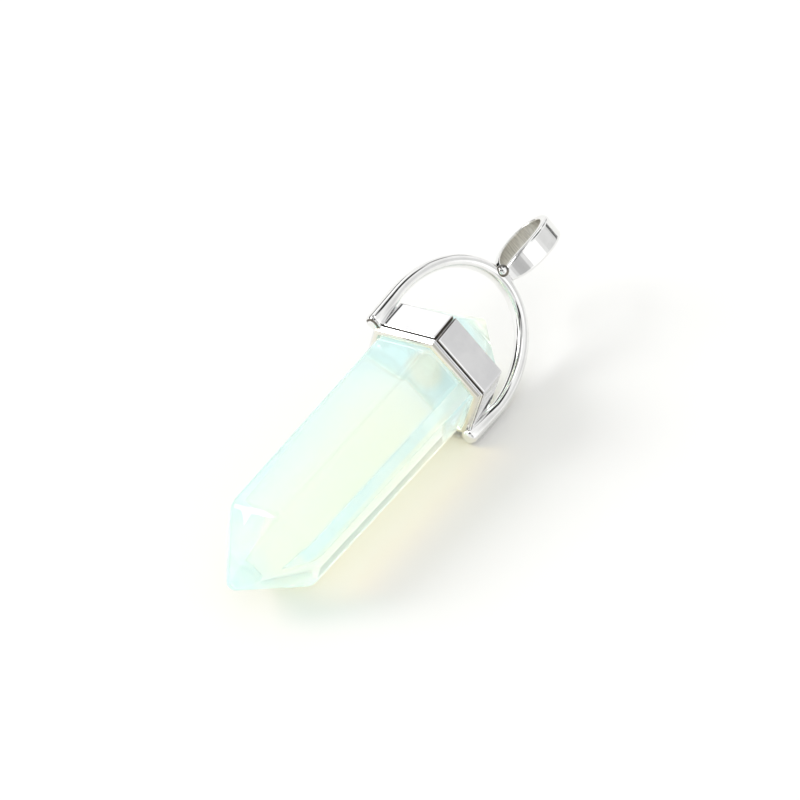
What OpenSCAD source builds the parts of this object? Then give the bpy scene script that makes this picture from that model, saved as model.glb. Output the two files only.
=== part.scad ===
// Crystal point pendant: a six-sided glass point held in a one-piece cast setting.
// The setting is a hexagonal collar with six raised pads, an arch over the stone and a strap bail.
// It lies on a flat surface as it would by itself, long axis along X, bail towards +X.

/* [Stone] */
// Width across the flats where the stone leaves the collar
stone_flats = 8.05; // [6:0.05:10]
// Width across the flats at the shoulder of the long point
shoulder_flats = 7.45; // [5:0.05:10]
// Distance from the collar's pads down to the shoulder
body_length = 18.4; // [8:0.1:30]
// How much lower the shoulder sits on its deeper side
shoulder_skew = 0.3; // [0:0.1:1]
// Length of the long point below the shoulder
point_length = 4.85; // [2:0.05:10]
// How far the long point's tip lies off the stone's axis
point_offset = 0.5; // [0:0.05:1]
// Height of the stone's straight sides above the pads' lower edge
head_height = 2.8; // [1:0.05:4]
// Length of the short point inside the arch
head_length = 4.65; // [2:0.05:6]
// How far the short point's tip lies off the stone's axis
head_offset = 0.45; // [0:0.05:1]
// Angle between the stone and the collar, as it was glued in
stone_lean = 2.8; // [0:0.1:3.5]

/* [Collar] */
// Height of the raised pads
pad_height = 2.35; // [1.5:0.05:3]
// How far the pads stand out from the band
pad_rise = 0.4; // [0.2:0.05:0.6]
// Width of the bevel round each pad
pad_bevel = 0.18; // [0.1:0.02:0.4]
// Half of the groove between two pads that meet at a corner
pad_groove = 0.12; // [0.05:0.01:0.3]
// Wall of the collar round an upright stone
collar_wall = 0.32; // [0.25:0.01:0.8]
// Height of the lip below the pads
lip_height = 0.55; // [0.3:0.05:1]
// How far the lip's bead stands out from the band
lip_rise = 0.2; // [0.1:0.02:0.35]
// How much the lip's mouth opens out round the stone
mouth_flare = 0.14; // [0.05:0.01:0.2]
// Gap between the stone and the collar
stone_gap = 0.05; // [0.03:0.01:0.1]

/* [Arch] */
// How far the legs stand out from the corners of the band
leg_reach = 1.17; // [0.8:0.01:2]
// Gap between the short point and the crown
crown_gap = 2.83; // [1:0.01:6]
// Height where the straight legs turn into the curve
arch_spring = 3.0; // [1:0.1:4]
// Thickness of the legs
leg_thickness = 0.93; // [0.7:0.01:1.2]
// Thickness of the crown
crown_thickness = 0.93; // [0.5:0.01:1.2]
// Width of the arch's band at its legs
band_width = 1.2; // [0.8:0.05:1.6]
// Width of the arch's band under the bail
crown_width = 1.25; // [1:0.05:2.4]
// How far the short leg reaches below the pads
short_foot = 0.25; // [0.2:0.05:0.9]
// How far the long leg reaches below the pads
long_foot = 0.8; // [0.2:0.05:0.9]
// Radius that rounds the end of each leg
foot_round = 0.45; // [0.2:0.05:0.45]

/* [Bail] */
// Length of the strap's loop
bail_length = 6.6; // [4:0.1:9]
// Outer depth of the loop
bail_depth = 4.5; // [3.5:0.1:7]
// Thickness of the strap
strap_thickness = 0.6; // [0.4:0.01:0.8]
// Width of the strap at its top
strap_width = 1.9; // [1.2:0.05:2.6]
// Width of the strap where it meets the crown
heel_width = 1.55; // [1:0.05:1.8]
// How deep the loop's lower end sits in the crown
bail_seat = 0.17; // [0.1:0.01:0.3]
// Angle by which the loop leans back from the plane of the arch
bail_lean = 6; // [0:0.5:8]

/* [Hidden] */

// Overlap where two shapes of one solid join
sink = 0.05;
// Angle from one corner of a hexagon to the next, and between its flats and the lines through its corners
hex_turn = 60;
hex_turns = [0:hex_turn:300];

function corner_radius(flats) = flats / sqrt(3);
function mix(a, b, t) = a + (b - a) * t;
function hexagon(r, z) = [for (a = hex_turns) [r * cos(a), r * sin(a), z]];
function leaned(p, angle) =
    [p.x * cos(angle) + p.z * sin(angle), p.y, p.z * cos(angle) - p.x * sin(angle)];

// Closed solid through a list of rings with equal numbers of points
module loft(rings) {
    sides = len(rings[0]);
    last = len(rings) - 1;
    points = [for (r = rings) each r];
    walls = [for (i = [0:last - 1], j = [0:sides - 1]) let (k = (j + 1) % sides)
        each [[i * sides + j, (i + 1) * sides + j, (i + 1) * sides + k],
            [i * sides + j, (i + 1) * sides + k, i * sides + k]]];
    first_cap = [for (j = [0:sides - 1]) j];
    last_cap = [for (j = [sides - 1:-1:0]) last * sides + j];
    polyhedron(points, concat([first_cap], walls, [last_cap]));
}

// Stone: straight sides taper from the collar to the shoulder, and both ends come to a point

stone_r = corner_radius(stone_flats);
shoulder_r = corner_radius(shoulder_flats);
// The corner of the hexagon that the ground point cuts lowest
skew_side = 180;
point_tip = [0, point_offset, -body_length - point_length];
head_tip = [head_offset, 0, head_height + head_length];

function side_r(z) = mix(stone_r, shoulder_r, -z / body_length);
function stone_ring(z, grow) = hexagon(side_r(z) + corner_radius(2 * grow), z);
function shoulder_ring(grow) =
    [for (a = hex_turns)
        let (z = -body_length - shoulder_skew * cos(a - skew_side), r = side_r(z) + corner_radius(2 * grow))
            [r * cos(a), r * sin(a), z]];

// Stone, larger by grow on every side face
module stone_body(grow = 0) {
    points = concat([point_tip], shoulder_ring(grow), stone_ring(head_height, grow), [head_tip]);
    faces = [for (j = [0:5]) let (k = (j + 1) % 6)
        each [[0, 1 + j, 1 + k], [1 + j, 7 + j, 7 + k, 1 + k], [7 + j, 13, 7 + k]]];
    rotate([0, stone_lean, 0])
        polyhedron(points, faces);
}

// Collar: a band with a lip round the stone, and six raised pads with bevelled rims

hole_flats = stone_flats + 2 * stone_gap;
band_flats = hole_flats + 2 * collar_wall;
band_r = corner_radius(band_flats);
pad_flats = band_flats + 2 * pad_rise;
// A pad beside a leg of the arch runs into the side of that leg
leg_trim = (band_width / 2 - sink) / sin(hex_turn);

// The first flat lies between the corners at 0 and 60 degrees, where the legs stand at 0 and 180
function pad_trims(side) =
    [side % 180 == 120 ? leg_trim : pad_groove, side % 180 == 0 ? leg_trim : pad_groove];
function pad_layer(flats, trims, bottom, top) =
    let (y = flats / 2, half = corner_radius(flats) / 2)
    [[-half + trims[0], y, bottom], [-half + trims[0], y, top],
        [half - trims[1], y, top], [half - trims[1], y, bottom]];
function turned(p, angle) =
    [p.x * cos(angle) - p.y * sin(angle), p.x * sin(angle) + p.y * cos(angle), p.z];
// A pad's foot in the band, its edge and its bevelled face
function pad_rings(side) =
    let (trims = pad_trims(side), b = pad_bevel)
    [for (layer = [
        pad_layer(band_flats - 2 * sink, trims, b / 2, pad_height),
        pad_layer(pad_flats - 2 * b, trims, 0, pad_height),
        pad_layer(pad_flats, [trims[0] + b, trims[1] + b], b, pad_height - b)])
        [for (p = layer) turned(p, side - hex_turn)]];

module pads() {
    for (side = hex_turns)
        loft(pad_rings(side));
}

module band() {
    translate([0, 0, -lip_height])
        cylinder(h = lip_height + pad_height - pad_bevel, r = band_r, $fn = 6);
}

// The lip's bead is widest at half its height
module lip() {
    half = lip_height / 2;
    lip_r = corner_radius(band_flats + 2 * lip_rise);
    translate([0, 0, -lip_height])
        cylinder(h = half, r1 = band_r, r2 = lip_r, $fn = 6);
    translate([0, 0, -half])
        cylinder(h = half, r1 = lip_r, r2 = band_r, $fn = 6);
}

module mouth() {
    mouth_r = corner_radius(hole_flats);
    translate([0, 0, -lip_height - sink])
        cylinder(h = lip_height / 2 + sink, r1 = mouth_r + mouth_flare, r2 = mouth_r - mouth_flare, $fn = 6);
}

// Arch: half an ellipse on two straight legs, which run down over opposite corners of the collar

// Number of points round the arch's section, and of steps along its curve
section_sides = 12;
arch_steps = 28;
// Squareness of the section: 2 is an ellipse, more is squarer
band_squareness = 2.6;
// A higher power keeps the crown's flare closer to the bail
flare_power = 14;
// Each foot ends in a quarter round, at these angles
foot_turns = [75, 50, 25, 0];

leg_x = band_r + leg_reach;
foot_thickness = leg_reach + 2 * sink;
crown_bottom = head_height + head_length + crown_gap;
arch_height = crown_bottom + crown_thickness;

function signed_power(v, e) = sign(v) * pow(abs(v), e);
// Points of a section from -1 to 1 each way, going round once
function rounded_section(sides, squareness) =
    [for (k = [0:sides - 1]) let (a = 360 * (k + 0.5) / sides)
        [signed_power(cos(a), 2 / squareness), signed_power(sin(a), 2 / squareness)]];
function band_ring(outer, inward, thickness, width) =
    [for (s = rounded_section(section_sides, band_squareness))
        outer + inward * thickness * (1 - s[0]) / 2 + [0, width / 2 * s[1], 0]];

function arch_outer(t) = [leg_x * cos(t), 0, arch_spring + (arch_height - arch_spring) * sin(t)];
function arch_inward(t) =
    let (n = [(arch_height - arch_spring) * cos(t), 0, leg_x * sin(t)]) -n / norm(n);
function curve_ring(t) =
    band_ring(arch_outer(t), arch_inward(t),
        mix(leg_thickness, crown_thickness, pow(sin(t), 2)),
        mix(band_width, crown_width, pow(sin(t), flare_power)));

function leg_ring(side, z, inset) =
    let (thickness = mix(foot_thickness, leg_thickness, max(0, z / arch_spring)) - 2 * inset)
        band_ring([side * (leg_x - inset), 0, z], [-side, 0, 0], thickness, band_width - 2 * inset);
function foot_rings(side, reach) =
    [for (a = foot_turns) leg_ring(side, foot_round * (1 - sin(a)) - reach, foot_round * (1 - cos(a)))];
function reversed(list) = [for (k = [len(list) - 1:-1:0]) list[k]];
arch_rings = concat(
    foot_rings(1, long_foot),
    [for (k = [0:arch_steps]) curve_ring(180 * k / arch_steps)],
    reversed(foot_rings(-1, short_foot)));

// Bail: an egg-shaped loop of strap, narrower towards the crown, that grows out of a fillet

// Number of steps round the loop, and of points round the fillet
strap_steps = 40;
fillet_sides = 16;
// Shape of the loop: 0 is an ellipse, 1 is a teardrop with its point at the crown
egg_power = 0.41;
// The loop is deepest where the squared sine of half its angle has this value
egg_widest = (1 + egg_power) / (2 + egg_power);
egg_peak = 2 * sqrt(egg_widest * (1 - egg_widest)) * pow(egg_widest, egg_power / 2);

bail_bottom = arch_height - bail_seat;

function egg(depth, length) =
    [for (k = [0:strap_steps - 1]) let (t = 360 * k / strap_steps)
        [depth / 2 * sin(t) * pow(sin(t / 2), egg_power) / egg_peak, length * (1 - cos(t)) / 2]];

// The loop is cut from a slab by a wedge, so that the strap narrows downwards
module strap() {
    wedge = [
        [-heel_width / 2, 0], [heel_width / 2, 0],
        [strap_width / 2, bail_length], [-strap_width / 2, bail_length]];
    intersection() {
        rotate([90, 0, 90])
            linear_extrude(height = max(strap_width, heel_width) + 2 * sink, center = true)
                difference() {
                    polygon(egg(bail_depth, bail_length));
                    translate([0, strap_thickness])
                        polygon(egg(bail_depth - 2 * strap_thickness, bail_length - 2 * strap_thickness));
                }
        rotate([90, 0, 0])
            linear_extrude(height = bail_depth + 2 * sink, center = true)
                polygon(wedge);
    }
}

module placed_strap() {
    translate([0, 0, bail_bottom])
        rotate([-bail_lean, 0, 0])
            strap();
}

fillet_bottom = arch_height - crown_thickness / 2;
fillet_top = bail_bottom + strap_thickness * 0.8;
// Share of the heel's width, share of the crown's width, share of the fillet's height
fillet_table = [
    [1, 0.36, 0],
    [0.68, 0.33, 0.42],
    [0.52, 0.26, 0.65],
    [0.46, 0.2, 1]];
function fillet_ring(row) =
    let (z = mix(fillet_bottom, fillet_top, row[2]))
    [for (k = [0:fillet_sides - 1]) let (a = 360 * k / fillet_sides)
        [heel_width * row[0] * cos(a), crown_width * row[1] * sin(a), z]];

module fillet() {
    loft([for (row = fillet_table) fillet_ring(row)]);
}

// Rest: the pendant lies on the long leg's foot, a corner of a pad and the stone's shoulder

leg_touch = leg_ring(1, foot_round - long_foot, 0)[1];
pad_touch = pad_rings(0)[2][0];
shoulder_touch = leaned(shoulder_ring(0)[1], stone_lean);
rest_normal = cross(pad_touch - leg_touch, shoulder_touch - leg_touch);
down = rest_normal / norm(rest_normal) * sign(rest_normal.x);
roll_angle = atan2(down.y, down.x);
pitch_angle = 90 + asin(down.z);

// The same turns as rest_pose() makes, for one point
function posed(p) = leaned(turned(p, -roll_angle), pitch_angle);
function leaned_back(p) =
    [p.x, p.y * cos(bail_lean) + p.z * sin(bail_lean), p.z * cos(bail_lean) - p.y * sin(bail_lean)];
stone_points = concat([point_tip, head_tip], shoulder_ring(0), stone_ring(head_height, 0));
outermost = concat(
    [for (p = stone_points) leaned(p, stone_lean)],
    [for (r = arch_rings) each r],
    [for (p = egg(bail_depth, bail_length), side = [-1, 1])
        leaned_back([side * mix(heel_width, strap_width, p.y / bail_length) / 2, p.x, p.y])
            + [0, 0, bail_bottom]],
    [for (side = hex_turns) each pad_rings(side)[2]]);
posed_points = [for (p = outermost) posed(p)];
function low(axis) = min([for (p = posed_points) p[axis]]);
function high(axis) = max([for (p = posed_points) p[axis]]);
box_centre = [(low(0) + high(0)) / 2, (low(1) + high(1)) / 2, low(2)];

// Lays the pendant down, with the middle of its box's lower face at the origin
module rest_pose() {
    translate(-box_centre)
        rotate([0, pitch_angle, 0])
            rotate([0, 0, -roll_angle])
                children();
}

module crystal_point() {
    color([0.84, 0.97, 0.95])
        rest_pose()
            stone_body();
}

module setting() {
    color([0.82, 0.82, 0.83])
        rest_pose()
            difference() {
                union() {
                    band();
                    lip();
                    pads();
                    loft(arch_rings);
                    fillet();
                    placed_strap();
                }
                stone_body(stone_gap);
                mouth();
            }
}

crystal_point();
setting();
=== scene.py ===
import math

import bpy
from mathutils import Matrix, Vector


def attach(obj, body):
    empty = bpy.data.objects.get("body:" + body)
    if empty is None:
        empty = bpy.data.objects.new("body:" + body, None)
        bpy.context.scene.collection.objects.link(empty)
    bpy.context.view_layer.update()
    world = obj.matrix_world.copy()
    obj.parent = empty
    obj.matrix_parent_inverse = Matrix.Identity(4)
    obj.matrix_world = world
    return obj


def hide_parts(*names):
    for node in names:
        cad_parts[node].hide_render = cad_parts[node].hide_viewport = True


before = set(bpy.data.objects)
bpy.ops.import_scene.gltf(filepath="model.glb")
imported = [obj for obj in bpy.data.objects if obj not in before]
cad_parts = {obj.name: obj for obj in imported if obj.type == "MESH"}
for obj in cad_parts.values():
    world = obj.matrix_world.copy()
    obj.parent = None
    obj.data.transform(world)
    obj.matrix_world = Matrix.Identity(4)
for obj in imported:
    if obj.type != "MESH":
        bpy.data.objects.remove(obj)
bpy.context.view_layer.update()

# Pieces are modelled upright in millimetres, the collar's lower pad edge at height 0,
# and then laid down into the frame's metres
lying = {
    "roll": 38.517,
    "pitch": 84.4401,
    "middle": (-2.76713, 0.0, -5.06623),
    "stoneLean": 2.8,
}
turnDown = (Matrix.Rotation(math.radians(lying["pitch"]), 4, "Y")
            @ Matrix.Rotation(math.radians(-lying["roll"]), 4, "Z"))
uprightToFrame = (Matrix.Scale(0.001, 4)
                  @ Matrix.Translation(-Vector(lying["middle"]))
                  @ turnDown)
stoneTurn = Matrix.Rotation(math.radians(lying["stoneLean"]), 4, "Y")


def say(text):
    print("pendant:", text, flush=True)


def objectMode():
    if bpy.context.object and bpy.context.object.mode != "OBJECT":
        bpy.ops.object.mode_set(mode="OBJECT")


def useOnly(obj):
    objectMode()
    bpy.ops.object.select_all(action="DESELECT")
    obj.select_set(True)
    bpy.context.view_layer.objects.active = obj


def newPiece(name):
    obj = bpy.context.object
    obj.name = name
    obj.data.name = name
    useOnly(obj)
    return obj


def applyModifier(obj, kind, **values):
    useOnly(obj)
    modifier = obj.modifiers.new(kind.lower(), kind)
    for key, value in values.items():
        setattr(modifier, key, value)
    bpy.ops.object.modifier_apply(modifier=modifier.name)


def applyPlace(obj):
    useOnly(obj)
    bpy.ops.object.transform_apply(location=True, rotation=True, scale=True)


def layDown(obj):
    obj.matrix_world = uprightToFrame
    applyPlace(obj)


# Camera

cameraSet = {
    "place": (-0.12287, -0.10236, 0.15133),
    "forward": (0.56659, 0.47308, -0.67466),
    "up": (0.60354, 0.31916, 0.73067),
    "lens": 135.0,
    "sensor": 36.0,
    "clip": (0.01, 20.0),
}


def makeCamera():
    cameraData = bpy.data.cameras.new("camera")
    camera = bpy.data.objects.new("camera", cameraData)
    bpy.context.scene.collection.objects.link(camera)
    forward = Vector(cameraSet["forward"]).normalized()
    up = Vector(cameraSet["up"])
    right = forward.cross(up).normalized()
    up = right.cross(forward)
    turn = Matrix((right, up, -forward)).transposed().to_4x4()
    camera.matrix_world = Matrix.Translation(Vector(cameraSet["place"])) @ turn
    cameraData.lens = cameraSet["lens"]
    cameraData.sensor_width = cameraSet["sensor"]
    cameraData.clip_start, cameraData.clip_end = cameraSet["clip"]
    bpy.context.scene.camera = camera


makeCamera()
say("camera stands")


# Node helpers

def newMaterial(name):
    material = bpy.data.materials.new(name)
    material.use_nodes = True
    tree = material.node_tree
    tree.nodes.clear()
    out = tree.nodes.new("ShaderNodeOutputMaterial")
    out.location = (900, 0)
    return material, tree, out


def addNode(tree, kind, place=(0, 0), **values):
    node = tree.nodes.new(kind)
    node.location = place
    for key, value in values.items():
        setattr(node, key, value)
    return node


def addRamp(tree, source, stops, place=(0, 0)):
    ramp = addNode(tree, "ShaderNodeValToRGB", place)
    ends = ramp.color_ramp.elements
    while len(ends) < len(stops):
        ends.new(0.5)
    for end, (position, colour) in zip(ends, stops):
        end.position = position
        end.color = (*colour, 1.0) if isinstance(colour, tuple) else (colour, colour, colour, 1.0)
    tree.links.new(source, ramp.inputs["Fac"])
    return ramp.outputs["Color"]


def addRange(tree, source, low, high, place=(0, 0), bottom=0.0, top=1.0, **values):
    # bottom where the source is low, top where it is high
    node = addNode(tree, "ShaderNodeMapRange", place, **values)
    node.inputs["From Min"].default_value = low
    node.inputs["From Max"].default_value = high
    node.inputs["To Min"].default_value = bottom
    node.inputs["To Max"].default_value = top
    tree.links.new(source, node.inputs["Value"])
    return node.outputs["Result"]


def addNoise(tree, source, scale, detail=2.0, place=(0, 0)):
    node = addNode(tree, "ShaderNodeTexNoise", place)
    node.inputs["Scale"].default_value = scale
    node.inputs["Detail"].default_value = detail
    tree.links.new(source, node.inputs["Vector"])
    return node.outputs["Fac"]


def addMath(tree, how, first, second, place=(0, 0)):
    node = addNode(tree, "ShaderNodeMath", place, operation=how)
    tree.links.new(first, node.inputs[0])
    tree.links.new(second, node.inputs[1])
    return node.outputs[0]


def addTint(tree, factor, base, colour, place=(0, 0)):
    # the base turns into the colour as the factor grows
    node = addNode(tree, "ShaderNodeMix", place, data_type="RGBA")
    node.inputs["B"].default_value = (*colour, 1)
    tree.links.new(factor, node.inputs["Factor"])
    tree.links.new(base, node.inputs["A"])
    return node.outputs["Result"]


def uprightCoordinates(tree, stoneToo=False):
    # Object coordinates turned back upright, in millimetres
    back = (turnDown @ stoneTurn if stoneToo else turnDown).inverted()
    shift = back @ Vector(lying["middle"])
    texture = addNode(tree, "ShaderNodeTexCoord", (-1500, 0))
    mapping = addNode(tree, "ShaderNodeMapping", (-1300, 0), vector_type="POINT")
    mapping.inputs["Scale"].default_value = (1000, 1000, 1000)
    mapping.inputs["Rotation"].default_value = back.to_euler("XYZ")
    mapping.inputs["Location"].default_value = shift
    tree.links.new(texture.outputs["Object"], mapping.inputs["Vector"])
    return mapping.outputs["Vector"]


# Metal finishes

metalLook = {
    # the two colours that each finish wanders between
    "pad": ((0.80, 0.80, 0.81), (0.86, 0.86, 0.865)),
    "wire": ((0.85, 0.85, 0.845), (0.91, 0.91, 0.905)),
    "lip": ((0.80, 0.78, 0.71), (0.86, 0.84, 0.77)),
    "cloudSize": 0.7,
    "speckSize": 14.0,
    "roughness": (0.05, 0.10),
    # strength, and depth in metres
    "bump": (0.03, 0.00002),
}
brushedLook = {
    "colour": (0.88, 0.86, 0.80),
    "darker": 0.6,
    "squeeze": (0.6, 9.0, 9.0),
    "grainSize": 1.6,
    "roughness": 0.32,
    "bump": (0.4, 0.00003),
}
# painted shade and painted dark reflections, not a colour the metal has
paintedShadeLook = {
    "colour": (0.13, 0.13, 0.125),
    "warm": (0.30, 0.25, 0.20),
    "patchSize": 2.5,
    "roughness": 0.4,
}


def newMetal(name):
    material, tree, out = newMaterial(name)
    shader = addNode(tree, "ShaderNodeBsdfPrincipled", (500, 0))
    shader.inputs["Metallic"].default_value = 1.0
    tree.links.new(shader.outputs["BSDF"], out.inputs["Surface"])
    return material, tree, shader, uprightCoordinates(tree)


def addBump(tree, shader, height, amount):
    bump = addNode(tree, "ShaderNodeBump", (100, -300))
    bump.inputs["Strength"].default_value = amount[0]
    bump.inputs["Distance"].default_value = amount[1]
    tree.links.new(height, bump.inputs["Height"])
    tree.links.new(bump.outputs["Normal"], shader.inputs["Normal"])


def makeBrightMetal(name, colours):
    material, tree, shader, place = newMetal(name)
    cloud = addNoise(tree, place, metalLook["cloudSize"], 3.0, (-1000, 200))
    colour = addRamp(tree, cloud, [(0.35, colours[0]), (0.65, colours[1])], (-700, 200))
    tree.links.new(colour, shader.inputs["Base Color"])
    speck = addNoise(tree, place, metalLook["speckSize"], 4.0, (-1000, -100))
    smooth, rough = metalLook["roughness"]
    polish = addRange(tree, speck, 0.3, 0.7, (-700, -100), smooth, rough)
    tree.links.new(polish, shader.inputs["Roughness"])
    addBump(tree, shader, speck, metalLook["bump"])
    return material


def makeBrushedMetal():
    material, tree, shader, place = newMetal("brushedInside")
    squeeze = addNode(tree, "ShaderNodeMapping", (-1100, 0))
    squeeze.inputs["Scale"].default_value = brushedLook["squeeze"]
    tree.links.new(place, squeeze.inputs["Vector"])
    grain = addNoise(tree, squeeze.outputs["Vector"], brushedLook["grainSize"], 5.0, (-900, 0))
    dark = tuple(brushedLook["darker"] * v for v in brushedLook["colour"])
    colour = addRamp(tree, grain, [(0.3, dark), (0.7, brushedLook["colour"])], (-600, 100))
    tree.links.new(colour, shader.inputs["Base Color"])
    shader.inputs["Roughness"].default_value = brushedLook["roughness"]
    addBump(tree, shader, grain, brushedLook["bump"])
    return material


def makePaintedShadeMetal():
    # painted shade: a dark metal put in recesses, grooves and rings where shade and dark reflections fall
    material, tree, shader, place = newMetal("paintedShadeRecess")
    shader.inputs["Roughness"].default_value = paintedShadeLook["roughness"]
    patch = addNoise(tree, place, paintedShadeLook["patchSize"], place=(-900, 0))
    colour = addRamp(tree, patch, [(0.35, paintedShadeLook["colour"]), (0.70, paintedShadeLook["warm"])], (-600, 0))
    tree.links.new(colour, shader.inputs["Base Color"])
    return material


brightMetal = makeBrightMetal("polishedRhodium", metalLook["pad"])
wireMetal = makeBrightMetal("polishedWire", metalLook["wire"])
lipMetal = makeBrightMetal("warmLip", metalLook["lip"])
brushedMetal = makeBrushedMetal()
paintedShadeMetal = makePaintedShadeMetal()


# Stone

stoneCut = {
    "tipCut": 0.60,
    "headCut": 0.30,
    # how far the polish has rounded the edges
    "shoulderRound": 0.42,
    "pointRound": 0.26,
    "bodyRound": 0.30,
    "headRound": 0.12,
    "steps": 5,
    # the back face is ground a little deeper towards the point
    "backGrind": 0.70,
    "backFrom": 2.0,
    # heights that tell the point, the shoulder and the head apart
    "tipBelow": -21.0,
    "shoulderBelow": -17.0,
    "grindBelow": -12.0,
    "headAbove": 2.0,
    # an edge of the shoulder rises less than this
    "level": 1.0,
}


def cutEnd(obj, sign, cut):
    # one end of the stone is cut off a little
    reach = max(sign * v.co.z for v in obj.data.vertices)
    useOnly(obj)
    for f in obj.data.polygons:
        f.select = False
    for e in obj.data.edges:
        e.select = False
    for v in obj.data.vertices:
        v.select = sign * v.co.z > reach - 0.01
    bpy.ops.object.mode_set(mode="EDIT")
    bpy.ops.mesh.select_mode(type="VERT")
    bpy.ops.mesh.bevel(offset=cut, affect="VERTICES", segments=1)
    objectMode()


def edgeRounding(low, high):
    # low and high are the heights of the edge's ends
    if high < stoneCut["tipBelow"]:
        return stoneCut["pointRound"]
    if high < stoneCut["shoulderBelow"]:
        return stoneCut["shoulderRound"] if high - low < stoneCut["level"] else stoneCut["pointRound"]
    return stoneCut["headRound"] if low > stoneCut["headAbove"] else stoneCut["bodyRound"]


def makeStone():
    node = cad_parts["crystal_point"]
    stone = node.copy()
    stone.data = node.data.copy()
    stone.name = "opaliteStone"
    stone.data.name = "opaliteStone"
    bpy.context.scene.collection.objects.link(stone)
    stone.data.materials.clear()
    stone.matrix_world = stoneTurn.inverted() @ uprightToFrame.inverted()
    applyPlace(stone)
    bpy.ops.object.mode_set(mode="EDIT")
    bpy.ops.mesh.select_all(action="SELECT")
    bpy.ops.mesh.remove_doubles(threshold=0.002)
    bpy.ops.mesh.normals_make_consistent(inside=False)
    bpy.ops.mesh.dissolve_limited(angle_limit=math.radians(0.6))
    deeper = stoneCut["backGrind"]
    for v in stone.data.vertices:
        if v.co.y > stoneCut["backFrom"] and stoneCut["tipBelow"] < v.co.z < stoneCut["grindBelow"]:
            v.co.y -= deeper
            v.co.x += math.copysign(deeper * math.tan(math.radians(30)), v.co.x)
    cutEnd(stone, -1, stoneCut["tipCut"])
    cutEnd(stone, 1, stoneCut["headCut"])
    weights = stone.data.attributes.new("bevel_weight_edge", "FLOAT", "EDGE")
    widest = max(stoneCut["shoulderRound"], stoneCut["pointRound"], stoneCut["bodyRound"])
    for edge, weight in zip(stone.data.edges, weights.data):
        a, b = (stone.data.vertices[i].co for i in edge.vertices)
        weight.value = edgeRounding(min(a.z, b.z), max(a.z, b.z)) / widest
    applyModifier(stone, "BEVEL", width=widest, segments=stoneCut["steps"], limit_method="WEIGHT")
    bpy.ops.object.shade_smooth_by_angle(angle=math.radians(14))
    stone.matrix_world = uprightToFrame @ stoneTurn
    applyPlace(stone)
    return stone


stoneLook = {
    "body": (0.93, 0.985, 0.87),
    "rim": (0.62, 0.91, 1.0),
    "side": (0.70, 0.93, 1.0),
    "near": (0.79, 0.94, 1.0),
    "peach": (1.0, 0.92, 0.79),
    "paintedStripe": (0.74, 0.93, 0.97),
    "clear": 0.84,
    "roughness": 0.03,
    "bending": 1.46,
    # tints of the shadow from the foot of the stone up, and of the room's light
    "shadowCore": (1.0, 0.76, 0.12),
    "shadowBand": (1.0, 1.0, 0.62),
    "shadowMiddle": (0.50, 0.36, 0.22),
    "shadowSide": (0.0, 0.03, 0.02),
    "shadowTip": (0.12, 0.48, 0.46),
    "shadowInside": (1.0, 1.0, 0.98),
    "pane": (0.92, 0.90, 0.79),
    "glow": (0.62, 0.90, 0.88),
    "glowNear": (1.0, 0.86, 0.62),
    "scatterColour": (0.56, 0.80, 1.0),
    "scatterDensity": 60.0,
    "absorbColour": (0.3, 0.92, 0.86),
    "absorbDensity": 4.5,
}
# where the looks lie, in the upright stone's millimetres
stonePlan = {
    "cloudSize": 0.22,
    "cloudSway": 0.12,
    "ends": (-24.0, 8.0),
    # share of the way from the lower to the upper end, and the colour there
    "along": [(0.06, "rim"), (0.18, "body"), (0.66, "body"), (0.72, "near"), (0.90, "rim"), (1.0, "body")],
    # where the side turned from the light is painted bluer
    "sideX": (-2.0, -4.6),
    "stripeX": (-5.0, 5.0),
    "stripeStops": [(0.575, 0.0), (0.60, 1.0), (0.665, 1.0), (0.69, 0.0)],
    "frontY": (-3.0, -3.4),
    "patchMiddle": (-1.5, -4.0, -2.0),
    "patchRadius": (1.9, 0.9),
    "glowStops": [(0.05, 0.09), (0.20, 0.06), (0.50, 0.05), (0.62, 0.09), (0.78, 0.10), (1.0, 0.06)],
    "glowTones": [(0.45, "glow"), (0.64, "glowNear")],
    # painted light: the side towards the lamp glows more
    "litX": (2.6, 4.4),
    "litGlow": 0.18,
    # metres above the floor, and share of that height
    "shadowHeight": 0.0085,
    "shadowStops": [(0.0, "shadowCore"), (0.07, "shadowBand"), (0.14, "shadowBand"), (0.20, "shadowCore"),
                    (0.28, "shadowMiddle"), (0.42, "shadowSide")],
    "shadowTipZ": (-16.5, -20.0),
}


def namedStops(stops):
    return [(position, stoneLook[name]) for position, name in stops]


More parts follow.
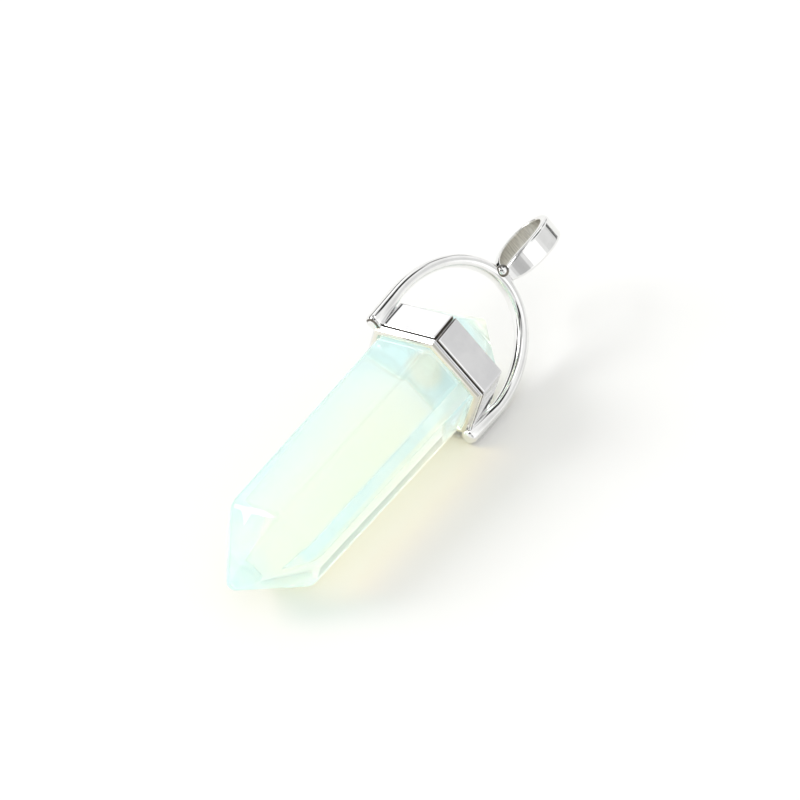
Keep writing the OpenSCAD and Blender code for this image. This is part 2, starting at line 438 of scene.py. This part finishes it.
def opaliteColour(tree, place, at, along):
    # a cloud sways the colours that change along the stone
    cloud = addNoise(tree, place, stonePlan["cloudSize"], place=(-1100, -100))
    sway = addNode(tree, "ShaderNodeMath", (-700, 200), operation="MULTIPLY_ADD")
    sway.inputs[1].default_value = stonePlan["cloudSway"]
    tree.links.new(cloud, sway.inputs[0])
    tree.links.new(along, sway.inputs[2])
    colour = addRamp(tree, sway.outputs[0], namedStops(stonePlan["along"]), (-500, 200))
    # painted shade: the side turned from the light is painted bluer
    across = addRange(tree, at["X"], *stonePlan["sideX"], place=(-700, 500))
    colour = addTint(tree, across, colour, stoneLook["side"], (-200, 300))
    # a painted stripe stands for the bluer side face seen through the glass; it runs along the front face,
    # beside its lower edge
    band = addRange(tree, at["X"], *stonePlan["stripeX"], place=(-700, 700))
    paintedStripe = addRamp(tree, band, stonePlan["stripeStops"], (-500, 700))
    front = addRange(tree, at["Y"], *stonePlan["frontY"], place=(-700, 900))
    streak = addMath(tree, "MULTIPLY", paintedStripe, front, (-200, 700))
    colour = addTint(tree, streak, colour, stoneLook["paintedStripe"], (0, 300))
    # a painted warm patch stands for the setting seen through the glass
    off = addNode(tree, "ShaderNodeVectorMath", (-700, 1100), operation="DISTANCE")
    off.inputs[1].default_value = stonePlan["patchMiddle"]
    tree.links.new(place, off.inputs[0])
    patch = addRange(tree, off.outputs["Value"], *stonePlan["patchRadius"], place=(-500, 1100),
                     interpolation_type="SMOOTHSTEP")
    return addTint(tree, patch, colour, stoneLook["peach"], (200, 300))


def addGlow(tree, shader, at, along):
    # a little light of its own stands in for what the milk scatters
    tone = addRamp(tree, along, namedStops(stonePlan["glowTones"]), (-500, -500))
    tree.links.new(tone, shader.inputs["Emission Color"])
    glow = addRamp(tree, along, stonePlan["glowStops"], (-500, -300))
    # painted light: the side towards the lamp glows more
    lit = addRange(tree, at["X"], *stonePlan["litX"], place=(-500, -700), top=stonePlan["litGlow"])
    strength = addMath(tree, "ADD", glow, lit, (-200, -500))
    tree.links.new(strength, shader.inputs["Emission Strength"])


def shadowTint(tree, at):
    # the tint goes by height above the floor, so it fits the pendant as it lies
    texture = addNode(tree, "ShaderNodeTexCoord", (-600, 900))
    lift = addNode(tree, "ShaderNodeSeparateXYZ", (-400, 900))
    tree.links.new(texture.outputs["Object"], lift.inputs[0])
    height = addRange(tree, lift.outputs["Z"], 0.0, stonePlan["shadowHeight"], (-200, 900))
    tint = addRamp(tree, height, namedStops(stonePlan["shadowStops"]), (200, 700))
    cool = addRange(tree, at["Z"], *stonePlan["shadowTipZ"], place=(0, 1000))
    tint = addTint(tree, cool, tint, stoneLook["shadowTip"], (300, 900))
    # only where it goes in, so the milk inside is lit in full
    inside = addNode(tree, "ShaderNodeNewGeometry", (0, 800))
    return addTint(tree, inside.outputs["Backfacing"], tint, stoneLook["shadowInside"], (400, 700))


def addShadow(tree, at, shader, out):
    # shadow rays pass on with a tint, and rays from the floor see a pale pane
    path = addNode(tree, "ShaderNodeLightPath", (300, 500))
    lamp = addNode(tree, "ShaderNodeMix", (450, 500), data_type="RGBA")
    lamp.inputs["A"].default_value = (*stoneLook["pane"], 1)
    tree.links.new(path.outputs["Is Shadow Ray"], lamp.inputs["Factor"])
    tree.links.new(shadowTint(tree, at), lamp.inputs["B"])
    through = addNode(tree, "ShaderNodeBsdfTransparent", (500, 300))
    tree.links.new(lamp.outputs["Result"], through.inputs["Color"])
    soft = addMath(tree, "MAXIMUM", path.outputs["Is Shadow Ray"], path.outputs["Is Diffuse Ray"], (500, 500))
    pick = addNode(tree, "ShaderNodeMixShader", (700, 200))
    tree.links.new(soft, pick.inputs["Fac"])
    tree.links.new(shader.outputs["BSDF"], pick.inputs[1])
    tree.links.new(through.outputs["BSDF"], pick.inputs[2])
    tree.links.new(pick.outputs["Shader"], out.inputs["Surface"])


def addMilk(tree, out):
    scatter = addNode(tree, "ShaderNodeVolumeScatter", (300, -500))
    scatter.inputs["Color"].default_value = (*stoneLook["scatterColour"], 1)
    scatter.inputs["Density"].default_value = stoneLook["scatterDensity"]
    scatter.inputs["Anisotropy"].default_value = 0.0
    absorb = addNode(tree, "ShaderNodeVolumeAbsorption", (300, -700))
    absorb.inputs["Color"].default_value = (*stoneLook["absorbColour"], 1)
    absorb.inputs["Density"].default_value = stoneLook["absorbDensity"]
    both = addNode(tree, "ShaderNodeAddShader", (600, -600))
    tree.links.new(scatter.outputs["Volume"], both.inputs[0])
    tree.links.new(absorb.outputs["Volume"], both.inputs[1])
    tree.links.new(both.outputs["Shader"], out.inputs["Volume"])


def makeOpalite():
    material, tree, out = newMaterial("opalite")
    place = uprightCoordinates(tree, stoneToo=True)
    shader = addNode(tree, "ShaderNodeBsdfPrincipled", (500, 0))
    split = addNode(tree, "ShaderNodeSeparateXYZ", (-1100, 200))
    tree.links.new(place, split.inputs[0])
    at = split.outputs
    along = addRange(tree, at["Z"], *stonePlan["ends"], place=(-900, 200))
    tree.links.new(opaliteColour(tree, place, at, along), shader.inputs["Base Color"])
    addGlow(tree, shader, at, along)
    shader.inputs["Roughness"].default_value = stoneLook["roughness"]
    shader.inputs["IOR"].default_value = stoneLook["bending"]
    shader.inputs["Transmission Weight"].default_value = stoneLook["clear"]
    addShadow(tree, at, shader, out)
    addMilk(tree, out)
    return material


stone = makeStone()
stone.data.materials.append(makeOpalite())
say("stone cut")


# Collar

collarShape = {
    "bandHalfFlats": 4.395,
    "edge": 0.03,
    # half width across the flats and height, from inside the mouth round to the rim's inner edge
    "outside": [
        (4.10, -0.46), (4.12, -0.54), (4.18, -0.585), (4.27, -0.59), (4.37, -0.565), (4.45, -0.51),
        (4.49, -0.45), (4.56, -0.33), (4.57, -0.30), (4.50, -0.27), (4.55, -0.22), (4.63, -0.225),
        (4.665, -0.22), (4.69, -0.19), (4.70, -0.155), (4.685, -0.115), (4.64, -0.085), (4.55, -0.075),
        (4.395, 0.0), (4.395, 2.12), (4.36, 2.185), (4.28, 2.19),
    ],
    # the hole leans with the stone
    "inside": [(4.13, 2.15), (4.09, 2.05), (4.08, -0.3)],
    # heights and half widths between which the recess below the pads lies
    "recessHeight": (-0.075, 0.0),
    "recessOut": (4.3, 4.73),
    "lipBelow": -0.30,
}


def ringSize(halfFlats):
    return halfFlats * 2 / math.sqrt(3)


def makeCollar():
    # a hexagonal ring drawn up, out and in again, then closed on itself
    lean = math.tan(math.radians(lying["stoneLean"]))
    rows = [(a, z, 0.0) for a, z in collarShape["outside"]]
    rows += [(a, z, z * lean) for a, z in collarShape["inside"]]
    first = rows[0]
    bpy.ops.mesh.primitive_circle_add(vertices=6, radius=ringSize(first[0]),
                                      location=(first[2], 0, first[1]))
    collar = newPiece("collar")
    applyPlace(collar)
    # the circle's first corner is turned onto the X axis, where the legs stand
    corner = collar.data.vertices[0].co
    collar.matrix_world = Matrix.Rotation(-math.atan2(corner.y, corner.x), 4, "Z")
    applyPlace(collar)
    bpy.ops.object.mode_set(mode="EDIT")
    bpy.ops.mesh.select_all(action="SELECT")
    last = first
    for row in rows[1:]:
        step = (row[2] - last[2], 0, row[1] - last[1])
        bpy.ops.mesh.extrude_region_move(TRANSFORM_OT_translate={"value": step})
        grow = row[0] / last[0]
        bpy.ops.transform.resize(value=(grow, grow, 1), center_override=(row[2], 0, row[1]))
        last = row
    bpy.ops.mesh.select_all(action="DESELECT")
    bpy.ops.mesh.select_non_manifold(extend=False, use_wire=False, use_boundary=True,
                                     use_multi_face=False, use_non_contiguous=False, use_verts=False)
    bpy.ops.mesh.bridge_edge_loops()
    bpy.ops.mesh.select_all(action="SELECT")
    bpy.ops.mesh.normals_make_consistent(inside=False)
    objectMode()
    applyModifier(collar, "BEVEL", width=collarShape["edge"], segments=2,
                  limit_method="ANGLE", angle_limit=math.radians(50))
    bpy.ops.object.shade_smooth_by_angle(angle=math.radians(40))
    applyModifier(collar, "WEIGHTED_NORMAL", keep_sharp=True)
    # painted shade in the recess below the pads, and a warmer lip
    collar.data.materials.clear()
    collar.data.materials.append(brightMetal)
    collar.data.materials.append(paintedShadeMetal)
    collar.data.materials.append(lipMetal)
    low, high = collarShape["recessHeight"]
    near, far = collarShape["recessOut"]
    for f in collar.data.polygons:
        out = max(f.center.x * math.cos(math.radians(a)) + f.center.y * math.sin(math.radians(a))
                  for a in range(30, 390, 60))
        under = low < f.center.z < high and near < out < far
        f.material_index = 1 if under else 2 if f.center.z < collarShape["lipBelow"] else 0
    layDown(collar)
    return collar


collar = makeCollar()
say("collar drawn")


# Pads

padShape = {
    "low": 0.01,
    "high": 2.46,
    "rise": 0.335,
    "rimBelow": 0.19,
    "rimAbove": 0.15,
    "rimSide": 0.06,
    "groove": 0.045,
    "closed": -0.12,
    "besideLeg": 0.36,
    "sink": 0.05,
    # how squarely a face has to look down, or to a dark end, to get painted shade
    "darkDown": 0.52,
    "darkAside": 0.97,
}


def makePad(name, leftTrim, rightTrim, darkEnd):
    # one raised pad, modelled on the flat that faces +Y
    half = ringSize(collarShape["bandHalfFlats"]) / 2
    left, right = -half + leftTrim, half - rightTrim
    foot = collarShape["bandHalfFlats"] - padShape["sink"]
    face = collarShape["bandHalfFlats"] + padShape["rise"]
    low, high = padShape["low"], padShape["high"]
    middle = ((left + right) / 2, (foot + face) / 2, (low + high) / 2)
    bpy.ops.mesh.primitive_cube_add(size=1, location=middle, scale=(right - left, face - foot, high - low))
    pad = newPiece(name)
    applyPlace(pad)
    # the rim is rounded most below, less above and least at the ends
    weights = pad.data.attributes.new("bevel_weight_edge", "FLOAT", "EDGE")
    for edge, weight in zip(pad.data.edges, weights.data):
        a, b = (pad.data.vertices[i].co for i in edge.vertices)
        if min(a.y, b.y) > face - 0.01:
            if abs(a.z - b.z) > 0.1:
                weight.value = padShape["rimSide"] / padShape["rimBelow"]
            else:
                weight.value = 1.0 if a.z < 1 else padShape["rimAbove"] / padShape["rimBelow"]
    applyModifier(pad, "BEVEL", width=padShape["rimBelow"], segments=5, limit_method="WEIGHT")
    bpy.ops.object.shade_smooth_by_angle(angle=math.radians(40))
    applyModifier(pad, "WEIGHTED_NORMAL", keep_sharp=True)
    pad.data.materials.clear()
    pad.data.materials.append(brightMetal)
    pad.data.materials.append(paintedShadeMetal)
    # painted shade on faces that look down and on the end towards the dark corner
    for f in pad.data.polygons:
        down = f.normal.z < -padShape["darkDown"]
        aside = darkEnd * f.normal.x > padShape["darkAside"]
        f.material_index = 1 if down or aside else 0
    return pad


def placePads():
    # facing +Y the pad lies between the corners at 60 and 120 degrees
    groove, closed, besideLeg = padShape["groove"], padShape["closed"], padShape["besideLeg"]
    kinds = [("padBesideLegLeft", besideLeg, closed, 0, (120, 300)),
             ("padBesideLegRight", groove, besideLeg, -1, (0, 180)),
             ("padMiddle", closed, groove, 1, (60, 240))]
    made = []
    for name, leftTrim, rightTrim, darkEnd, sides in kinds:
        first = makePad(name + "A", leftTrim, rightTrim, darkEnd)
        second = first.copy()
        second.data = first.data.copy()
        second.name = name + "B"
        second.data.name = name + "B"
        bpy.context.scene.collection.objects.link(second)
        for pad, side in zip((first, second), sides):
            pad.matrix_world = Matrix.Rotation(math.radians(side - 60), 4, "Z")
            applyPlace(pad)
            layDown(pad)
            made.append(pad)
    return made


pads = placePads()
say("pads set")


# Arch and bail, one casting

archShape = {
    "legOut": 6.20,
    "spring": 3.0,
    "height": 11.21,
    "legThickness": 0.93,
    "crownThickness": 0.93,
    "footThickness": 1.27,
    "legWidth": 1.20,
    "crownWidth": 1.25,
    "flare": 14,
    "shortFoot": 0.45,
    "longFoot": 0.75,
    "footRound": 0.48,
    "outerEdge": 0.40,
    "innerEdge": 0.44,
    # the leg above the long foot stands a little fuller
    "fullSide": 0.15,
    "fullPower": 0.8,
    # share of that fullness at each height down to the foot
    "fullBelow": [(0.8, 2.0), (0.4, 1.0)],
    "bendSteps": 120,
    "footAngles": (80, 60, 40, 20, 0),
    # height above the foot where the leg is still nearly as thick as at the foot
    "thickUpTo": 1.6,
    # how far the path runs on past each foot
    "spare": 1.0,
    # slope and height of the faces with a painted dark reflection at the short foot
    "darkSlope": (-0.93, -0.62),
    "darkBelow": 0.5,
}
bailShape = {
    "length": 6.6,
    "depth": 4.5,
    "thickness": 0.6,
    "topWidth": 1.9,
    "heelWidth": 1.55,
    "egg": 0.41,
    "bottom": 11.04,
    "lean": 6.0,
    "outerEdge": 0.25,
    "innerEdge": 0.10,
    "heelPinch": 0.52,
    "pinchPower": 8,
    "bendSteps": 120,
    "knob": (-0.68, -0.54, 11.0),
    "knobSize": 0.50,
    # the ring of painted shade and dark reflection round it: reach beyond its size, side it looks to, and how
    # far from that side
    "knobReach": 1.12,
    "knobSide": (-0.30, -0.82, -0.48),
    "knobRing": (0.25, 0.80),
    # the brushed inside: middle of the loop, lowest height, half depth, and how squarely it looks in
    "insideMiddle": 0.58,
    "insideFrom": 0.55,
    "insideDepth": 2.1,
    "insideEdge": 0.75,
    "insideLook": 0.45,
    "voxel": 0.036,
    "quickVoxel": 0.09,
    "smooth": 3,
}


def mix(a, b, t):
    return a + (b - a) * t


def roundedSection(thick, wide, outerEdge, innerEdge, steps=5):
    # points round a bar's section, the outer side at 0, each corner an arc
    corners = [(-outerEdge, wide / 2 - outerEdge, outerEdge, 0),
               (-outerEdge, outerEdge - wide / 2, outerEdge, -90),
               (innerEdge - thick, innerEdge - wide / 2, innerEdge, -180),
               (innerEdge - thick, wide / 2 - innerEdge, innerEdge, -270)]
    points = []
    for y, z, size, start in corners:
        for k in range(steps + 1):
            a = math.radians(start + 90 - 90 * k / steps)
            points.append((y + size * math.cos(a), z + size * math.sin(a)))
    return points


def bendBar(name, path, sections, section):
    # a straight bar drawn along X in steps, then bent along a flat path; a row of sections is
    # (distance, outer side, inner side, half width), and the outer side lies on the path
    bpy.ops.mesh.primitive_circle_add(vertices=len(section), radius=1, fill_type="NGON",
                                      rotation=(0, math.pi / 2, 0))
    bar = newPiece(name)
    applyPlace(bar)
    distance, outer, inner, half = sections[0]
    deep = -min(y for y, z in section)
    wide = max(z for y, z in section)
    for v, (y, z) in zip(bar.data.vertices, section):
        v.co = (distance, outer + y * (outer - inner) / deep, z * half / wide)
    bpy.ops.object.mode_set(mode="EDIT")
    bpy.ops.mesh.select_all(action="SELECT")
    for row in sections[1:]:
        bpy.ops.mesh.extrude_region_move(TRANSFORM_OT_translate={"value": (row[0] - distance, 0, 0)})
        bpy.ops.transform.resize(value=(1, (row[1] - row[2]) / (outer - inner), row[3] / half),
                                 center_override=(row[0], (outer + inner) / 2, 0))
        bpy.ops.transform.translate(value=(0, (row[1] + row[2]) / 2 - (outer + inner) / 2, 0))
        distance, outer, inner, half = row
    bpy.ops.mesh.select_all(action="SELECT")
    bpy.ops.mesh.normals_make_consistent(inside=False)
    objectMode()
    curveData = bpy.data.curves.new(name + "Path", "CURVE")
    curveData.dimensions = "2D"
    spline = curveData.splines.new("POLY")
    spline.points.add(len(path) - 1)
    for point, (x, y) in zip(spline.points, path):
        point.co = (x, y, 0, 1)
    curve = bpy.data.objects.new(name + "Path", curveData)
    bpy.context.scene.collection.objects.link(curve)
    applyModifier(bar, "CURVE", object=curve, deform_axis="POS_X")
    bpy.data.objects.remove(curve)
    bpy.data.curves.remove(curveData)
    return bar


def pathLengths(path):
    lengths = [0.0]
    for a, b in zip(path, path[1:]):
        lengths.append(lengths[-1] + math.dist(a, b))
    return lengths


def footRow(angle, reach):
    # height and section where the end of a leg is rounded off
    s = archShape
    a = math.radians(angle)
    height = s["footRound"] * (1 - math.sin(a)) - reach
    inset = s["footRound"] * (1 - math.cos(a))
    return height, -inset, -s["footThickness"] + inset, s["legWidth"] / 2 - inset


def archRows():
    s = archShape
    bend, spare = s["bendSteps"], s["spare"]
    turn = [math.pi * k / bend for k in range(bend + 1)]
    rise = s["height"] - s["spring"]
    path = [(-s["legOut"], -s["shortFoot"] - spare)]
    for t in turn:
        full = s["fullSide"] * max(0.0, -math.cos(t)) ** s["fullPower"]
        path.append((-s["legOut"] * math.cos(t) + full, s["spring"] + rise * math.sin(t)))
    path += [(s["legOut"] + share * s["fullSide"], height) for share, height in s["fullBelow"]]
    path += [(s["legOut"], 0.0), (s["legOut"], -s["longFoot"] - spare)]
    lengths = pathLengths(path)
    end = lengths[-1]
    thickness = mix(s["footThickness"], s["legThickness"], s["thickUpTo"] / s["spring"])
    thickLeg = (0, -thickness, s["legWidth"] / 2)
    rows = []
    for angle in s["footAngles"]:
        height, *section = footRow(angle, s["shortFoot"])
        rows.append((spare + s["shortFoot"] + height, *section))
    rows.append((spare + s["shortFoot"] + s["thickUpTo"], *thickLeg))
    for k in range(0, bend + 1, 2):
        t = math.pi * k / bend
        thick = mix(s["legThickness"], s["crownThickness"], math.sin(t) ** 2)
        width = mix(s["legWidth"], s["crownWidth"], math.sin(t) ** s["flare"])
        rows.append((lengths[k + 1], 0, -thick, width / 2))
    rows.append((end - spare - s["longFoot"] - s["thickUpTo"], *thickLeg))
    for angle in reversed(s["footAngles"]):
        height, *section = footRow(angle, s["longFoot"])
        rows.append((end - spare - s["longFoot"] - height, *section))
    return path, rows


def bailRows():
    s = bailShape
    steps = s["bendSteps"]
    widest = (1 + s["egg"]) / (2 + s["egg"])
    peak = 2 * math.sqrt(widest * (1 - widest)) * widest ** (s["egg"] / 2)
    path = []
    for k in range(steps + 1):
        t = 2 * math.pi * k / steps
        side = -s["depth"] / 2 * math.sin(t) * abs(math.sin(t / 2)) ** s["egg"] / peak
        path.append((side, s["length"] * (1 - math.cos(t)) / 2))
    lengths = pathLengths(path)
    rows = []
    for k in range(0, steps + 1, 2):
        pinch = s["heelPinch"] * (1 - path[k][1] / s["length"]) ** s["pinchPower"]
        half = s["topWidth"] / 2 * (1 - pinch)
        rows.append((lengths[k], 0, -s["thickness"], half))
    return path, rows


filletShape = {
    # share of the heel's width, share of the crown's width, share of the fillet's height
    "rows": [(1.0, 0.36, 0.0), (0.68, 0.33, 0.42), (0.52, 0.26, 0.65), (0.46, 0.20, 1.0)],
    "intoStrap": 0.8,
    "sides": 24,
}


def makeFillet():
    # the neck between the crown and the strap
    table = filletShape["rows"]
    low = archShape["height"] - archShape["crownThickness"] / 2
    high = bailShape["bottom"] + bailShape["thickness"] * filletShape["intoStrap"]
    bpy.ops.mesh.primitive_circle_add(vertices=filletShape["sides"], radius=1, fill_type="NGON",
                                      location=(0, 0, low))
    fillet = newPiece("fillet")
    applyPlace(fillet)
    bpy.ops.object.mode_set(mode="EDIT")
    bpy.ops.mesh.select_all(action="SELECT")
    wide, deep = bailShape["heelWidth"] * table[0][0], archShape["crownWidth"] * table[0][1]
    bpy.ops.transform.resize(value=(wide, deep, 1), center_override=(0, 0, low))
    last = table[0]
    for row in table[1:]:
        rise = (high - low) * (row[2] - last[2])
        bpy.ops.mesh.extrude_region_move(TRANSFORM_OT_translate={"value": (0, 0, rise)})
        bpy.ops.transform.resize(value=(row[0] / last[0], row[1] / last[1], 1),
                                 center_override=(0, 0, 0))
        last = row
    bpy.ops.mesh.select_all(action="SELECT")
    bpy.ops.mesh.normals_make_consistent(inside=False)
    objectMode()
    return fillet


def makeArch():
    path, rows = archRows()
    section = roundedSection(archShape["legThickness"], archShape["legWidth"],
                             archShape["outerEdge"], archShape["innerEdge"])
    arch = bendBar("arch", path, rows, section)
    arch.matrix_world = Matrix.Rotation(math.pi / 2, 4, "X")
    applyPlace(arch)
    bpy.ops.object.shade_smooth_by_angle(angle=math.radians(50))
    return arch


def makeBail():
    path, rows = bailRows()
    section = roundedSection(bailShape["thickness"], bailShape["topWidth"],
                             bailShape["outerEdge"], bailShape["innerEdge"])
    bail = bendBar("bail", path, rows, section)
    # the loop's plane is turned across the arch, then leans back
    bail.matrix_world = (Matrix.Translation((0, 0, bailShape["bottom"]))
                         @ Matrix.Rotation(math.radians(-bailShape["lean"]), 4, "X")
                         @ Matrix.Rotation(math.pi / 2, 4, "Z") @ Matrix.Rotation(math.pi / 2, 4, "X"))
    applyPlace(bail)
    fillet = makeFillet()
    bpy.ops.mesh.primitive_uv_sphere_add(segments=24, ring_count=12, radius=bailShape["knobSize"],
                                         location=bailShape["knob"])
    knob = newPiece("knob")
    applyPlace(knob)
    useOnly(bail)
    fillet.select_set(True)
    knob.select_set(True)
    bpy.ops.object.join()
    applyModifier(bail, "REMESH", mode="VOXEL",
                  voxel_size=bailShape["voxel"])
    applyModifier(bail, "SMOOTH", factor=0.5, iterations=bailShape["smooth"])
    bpy.ops.object.shade_smooth()
    say(f"bail has {len(bail.data.polygons)} faces")
    return bail


def markInside(bail):
    # the faces inside the loop of strap get the brushed finish
    back = (Matrix.Rotation(math.radians(bailShape["lean"]), 4, "X")
            @ Matrix.Translation((0, 0, -bailShape["bottom"])))
    turn = back.to_3x3()
    centre = Vector((0, 0, bailShape["insideMiddle"] * bailShape["length"]))
    for f in bail.data.polygons:
        middle = back @ f.center
        if middle.z < bailShape["insideFrom"] or abs(middle.y) > bailShape["insideDepth"]:
            continue
        inward = centre - middle
        inward.x = 0
        normal = turn @ f.normal
        if abs(normal.x) >= bailShape["insideEdge"] or inward.length <= 0.1:
            continue
        if normal.dot(inward.normalized()) > bailShape["insideLook"]:
            f.material_index = 1


def darkenArch(arch):
    # a painted dark reflection rings the end of the short leg
    low, high = archShape["darkSlope"]
    for f in arch.data.polygons:
        shortLeg = f.center.x < 0 and f.center.z < archShape["darkBelow"]
        f.material_index = 1 if shortLeg and low < f.normal.z < high else 0


def darkenKnob(bail):
    # painted shade and a painted dark reflection ring the foot of the knob
    knob = Vector(bailShape["knob"])
    outward = Vector(bailShape["knobSide"]).normalized()
    reach = bailShape["knobSize"] * bailShape["knobReach"]
    low, high = bailShape["knobRing"]
    for f in bail.data.polygons:
        away = f.center - knob
        if away.length < reach and low < away.normalized().dot(outward) < high:
            f.material_index = 2


arch = makeArch()
arch.data.materials.clear()
arch.data.materials.append(wireMetal)
arch.data.materials.append(paintedShadeMetal)
darkenArch(arch)
layDown(arch)
bail = makeBail()
bail.data.materials.clear()
bail.data.materials.append(wireMetal)
bail.data.materials.append(brushedMetal)
bail.data.materials.append(paintedShadeMetal)
markInside(bail)
darkenKnob(bail)
layDown(bail)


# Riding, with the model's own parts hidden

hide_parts("crystal_point")
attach(stone, "root")
for piece in [collar, arch, bail] + pads:
    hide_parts("setting")
    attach(piece, "root")
say("pieces ride")


# Floor

floorLook = {
    "size": 3.0,
    "height": -0.00002,
    "colours": ((0.90, 0.90, 0.885), (0.91, 0.91, 0.895)),
    "cloudSize": 8.0,
    "roughness": 0.6,
    "shine": 0.2,
}


def makeFloor():
    bpy.ops.mesh.primitive_grid_add(x_subdivisions=8, y_subdivisions=8, size=floorLook["size"],
                                    location=(0, 0, floorLook["height"]))
    floor = newPiece("floor")
    applyPlace(floor)
    material, tree, out = newMaterial("paleFloor")
    shader = addNode(tree, "ShaderNodeBsdfPrincipled", (500, 0))
    texture = addNode(tree, "ShaderNodeTexCoord", (-800, 0))
    noise = addNoise(tree, texture.outputs["Object"], floorLook["cloudSize"], place=(-600, 0))
    grey, pale = floorLook["colours"]
    colour = addRamp(tree, noise, [(0.3, grey), (0.7, pale)], (-300, 0))
    tree.links.new(colour, shader.inputs["Base Color"])
    shader.inputs["Roughness"].default_value = floorLook["roughness"]
    shader.inputs["Specular IOR Level"].default_value = floorLook["shine"]
    tree.links.new(shader.outputs["BSDF"], out.inputs["Surface"])
    floor.data.materials.append(material)


makeFloor()


# Light

lightSet = {
    # brightness of the room as the floor gets it, and as the metal and glass mirror it
    "sky": 0.87,
    "mirroredSky": 0.98,
    "skyColour": (1.0, 1.0, 0.995),
    # the milky glass needs light that turns many times inside it
    "bounces": 48,
    "milkBounces": 32,
    # azimuth and elevation seen from the pendant, distance, size, watts
    "key": (114, 38, 2.0, 0.85, 15.8),
    "overhead": (215, 76, 0.6, 0.5, 0.28),
    # parts of the studio that the metal mirrors: azimuth, elevation, inner and outer angle, brightness
    "cards": [
        (-88, 18, 14, 28, 1.25),
        (-50, 18, 5, 23, 0.77),
        (-34, 9, 3, 17, 0.80),
        (-122, 18, 3, 22, 0.55),
        (-21, 2, 4, 8, 0.06),
        (55, 36, 10, 18, 1.26),
        (131, 28, 4, 25, 1.6),
        (-6, 62, 12, 20, 0.04),
        (-148, 52, 14, 22, 0.03),
        (165, 40, 10, 16, 0.05),
        (150, 72, 11, 18, 0.04),
        (92, 62, 10, 16, 0.05),
        (11, 34, 5, 12, 0.16),
        (14, 12, 4, 9, 0.20),
        (66, 8, 12, 17, 0.03),
        (90, 8, 11, 16, 0.03),
        (118, 2, 9, 14, 0.03),
        (150, 10, 8, 14, 0.05),
    ],
}


def towards(azimuth, elevation):
    a, e = math.radians(azimuth), math.radians(elevation)
    return Vector((math.cos(a) * math.cos(e), math.sin(a) * math.cos(e), math.sin(e)))


def addSoftbox(name, azimuth, elevation, distance, size, power):
    direction = towards(azimuth, elevation)
    data = bpy.data.lights.new(name, "AREA")
    data.shape = "SQUARE"
    data.size = size
    data.energy = power
    lamp = bpy.data.objects.new(name, data)
    bpy.context.scene.collection.objects.link(lamp)
    lamp.location = direction * distance
    lamp.rotation_euler = direction.to_track_quat("Z", "Y").to_euler()


def makeStudio():
    world = bpy.data.worlds.new("studio")
    bpy.context.scene.world = world
    world.use_nodes = True
    tree = world.node_tree
    background = tree.nodes["Background"]
    direction = addNode(tree, "ShaderNodeTexCoord", (-1800, 0)).outputs["Generated"]
    value = addNode(tree, "ShaderNodeValue", (-1500, 300))
    value.outputs[0].default_value = lightSet["mirroredSky"]
    light = value.outputs[0]
    for number, (azimuth, elevation, inner, outer, brightness) in enumerate(lightSet["cards"]):
        dot = addNode(tree, "ShaderNodeVectorMath", (-1500, -200 * number), operation="DOT_PRODUCT")
        dot.inputs[1].default_value = towards(azimuth, elevation)
        tree.links.new(direction, dot.inputs[0])
        low, high = math.cos(math.radians(outer)), math.cos(math.radians(inner))
        edge = addRange(tree, dot.outputs["Value"], low, high, (-1200, -200 * number),
                        interpolation_type="SMOOTHSTEP")
        blend = addNode(tree, "ShaderNodeMix", (-900, -200 * number), data_type="FLOAT")
        tree.links.new(edge, blend.inputs["Factor"])
        tree.links.new(light, blend.inputs["A"])
        blend.inputs["B"].default_value = brightness
        light = blend.outputs["Result"]
    path = addNode(tree, "ShaderNodeLightPath", (-900, 600))
    mirrored = addMath(tree, "MAXIMUM", path.outputs["Is Glossy Ray"], path.outputs["Is Transmission Ray"],
                       (-700, 600))
    pick = addNode(tree, "ShaderNodeMix", (-400, 300), data_type="FLOAT")
    tree.links.new(mirrored, pick.inputs["Factor"])
    pick.inputs["A"].default_value = lightSet["sky"]
    tree.links.new(light, pick.inputs["B"])
    tree.links.new(pick.outputs["Result"], background.inputs["Strength"])
    background.inputs["Color"].default_value = (*lightSet["skyColour"], 1)


def lightScene():
    makeStudio()
    addSoftbox("keyBox", *lightSet["key"])
    addSoftbox("overheadBox", *lightSet["overhead"])
    view = bpy.context.scene.view_settings
    view.view_transform = "Standard"
    view.look = "None"
    cycles = bpy.context.scene.cycles
    cycles.max_bounces = lightSet["bounces"]
    cycles.transmission_bounces = lightSet["bounces"]
    cycles.volume_bounces = lightSet["milkBounces"]


lightScene()
say("lights set")

for o in (stone, collar, arch, bail):
    print(o.name, "triangles", sum(len(f.vertices) - 2 for f in o.data.polygons))
